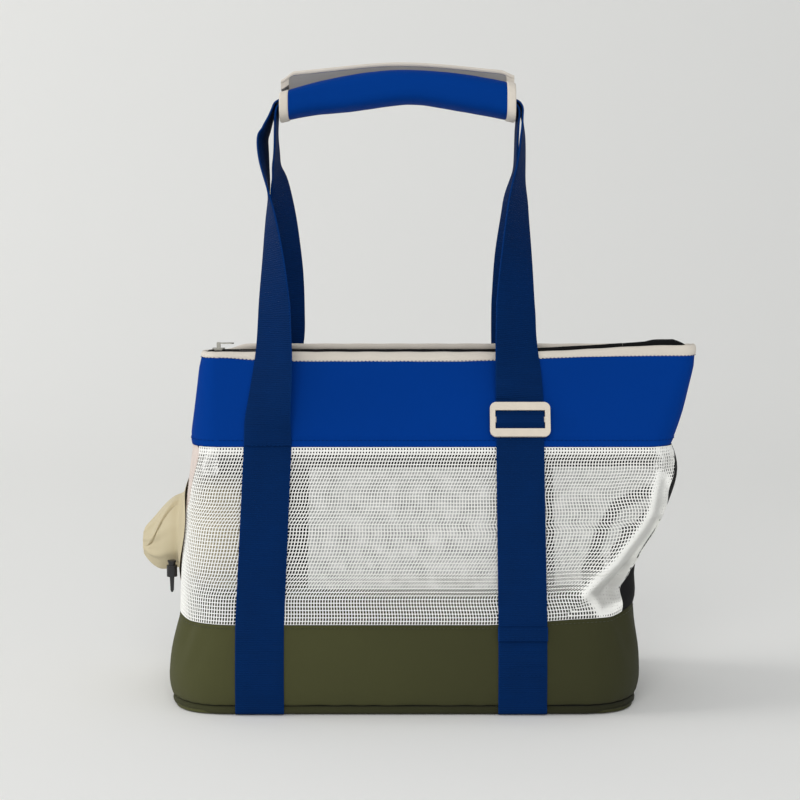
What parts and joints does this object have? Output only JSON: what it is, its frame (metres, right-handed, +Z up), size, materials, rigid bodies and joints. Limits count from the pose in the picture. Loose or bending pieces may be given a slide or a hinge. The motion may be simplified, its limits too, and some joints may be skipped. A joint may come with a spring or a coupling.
{
  "type": "soft pet transport carrier",
  "caption": "Soft tote-shaped pet carrier with a padded base, mesh walls, a zipped mouth, a drawstring head opening and webbing handles joined by a padded wrap.",
  "frame": {"origin": "on the floor, in the middle of the bottom panel's flat underside", "axes": "+Z up, +X along the bag towards its higher right end, -Y the side with the front adjuster"},
  "size_m": [0.4484, 0.1856, 0.5083],
  "materials": {
    "olive_fabric": "coarse matt canvas",
    "board": "plain board",
    "mat_fabric": "soft fleece",
    "white_mesh": "open coated mesh, semi-matt",
    "cream_fabric": "plain weave",
    "black_fabric": "plain weave",
    "blue_fabric": "matt padded polyester",
    "cream_binding": "ribbed binding",
    "black_tape": "woven zip tape",
    "zip_plastic": "moulded teeth",
    "zip_metal": "polished zinc",
    "navy_webbing": "ribbed webbing",
    "ivory_plastic": "smooth moulded",
    "grey_tape": "hook and loop",
    "beige_nylon": "thin nylon",
    "cord": "braided",
    "black_plastic": "moulded",
    "spring_steel": "bright wire"
  },
  "bodies": {
    "bag": {"base_bottom": "olive_fabric", "base_wall": "olive_fabric", "base_piping": "olive_fabric", "base_board": "board", "base_mat": "mat_fabric", "front_mesh": "white_mesh", "rear_mesh": "white_mesh", "left_side_panel": "cream_fabric", "right_side_panel": "black_fabric", "rear_lining": "black_fabric", "large_pocket": "cream_fabric", "small_pocket": "cream_fabric", "front_band": "blue_fabric", "rear_band": "blue_fabric", "front_binding": "cream_binding", "rear_binding": "cream_binding", "zip_left_tab": "black_tape", "zip_right_tab": "black_tape", "left_webbing": "navy_webbing", "right_webbing": "navy_webbing", "front_tail": "navy_webbing", "rear_tail": "navy_webbing", "front_strap_roots": "navy_webbing", "rear_strap_roots": "navy_webbing", "head_collar": "beige_nylon", "collar_cord": "cord", "cord_lock": "black_plastic", "cord_lock_spring": "spring_steel", "cord_end": "black_plastic"},
    "front_mouth_flap": {"front_zip_tape": "black_tape", "front_zip_teeth": "zip_plastic"},
    "rear_mouth_flap": {"rear_zip_tape": "black_tape", "rear_zip_teeth": "zip_plastic"},
    "slider": {"zip_slider": "zip_metal"},
    "pull": {"zip_pull": "zip_metal"},
    "front_slide": {"front_adjuster": "ivory_plastic", "front_adjuster_web": "navy_webbing"},
    "rear_slide": {"rear_adjuster": "ivory_plastic", "rear_adjuster_web": "navy_webbing"},
    "handles": {"front_handle": "navy_webbing", "rear_handle": "navy_webbing", "wrap_pad": "blue_fabric", "wrap_end_binding": "cream_binding", "wrap_loop_tape": "grey_tape"},
    "wrap_door": {"wrap_flap": "blue_fabric", "flap_end_binding": "cream_binding", "flap_piping": "cream_binding", "wrap_hook_tape": "grey_tape"},
    "button": {"cord_lock_button": "black_plastic"}
  },
  "joints": [
    {"name": "front_mouth_open", "type": "hinge", "parent": "bag", "child": "front_mouth_flap", "pos_m": [0, -0.0107, 0.2776], "axis": [1, 0, 0], "range_deg": [0, 90]},
    {"name": "rear_mouth_open", "type": "hinge", "parent": "bag", "child": "rear_mouth_flap", "pos_m": [0, 0.0107, 0.2776], "axis": [-1, 0, 0], "range_deg": [0, 90]},
    {"name": "zip_slide", "type": "slide", "parent": "bag", "child": "slider", "axis": [1, 0, 0], "range_m": [0, 0.333], "deforming": ["front_zip_teeth", "rear_zip_teeth"]},
    {"name": "zip_pull_swing", "type": "hinge", "parent": "slider", "child": "pull", "pos_m": [-0.151, 0, 0.2831], "axis": [0, -1, 0], "range_deg": [0, 175]},
    {"name": "front_adjuster_slide", "type": "slide", "parent": "bag", "child": "front_slide", "axis": [0, 0.3315, 0.9435], "range_m": [-0.12, 0]},
    {"name": "rear_adjuster_slide", "type": "slide", "parent": "bag", "child": "rear_slide", "axis": [0, -0.3315, 0.9435], "range_m": [-0.12, 0]},
    {"name": "handles_flop", "type": "hinge", "parent": "bag", "child": "handles", "pos_m": [0, 0, 0.278], "axis": [1, 0, 0], "range_deg": [-80, 80], "deforming": ["front_strap_roots", "rear_strap_roots"]},
    {"name": "wrap_open", "type": "hinge", "parent": "handles", "child": "wrap_door", "pos_m": [0, 0, 0.4603], "axis": [-1, 0, 0], "range_deg": [0, 110]},
    {"name": "cord_lock_press", "type": "slide", "parent": "bag", "child": "button", "axis": [0, 0, -1], "range_m": [0, 0.0025], "stiffness_N_per_m": 400, "springref_m": -0.002, "deforming": ["cord_lock_spring"]}
  ]
}
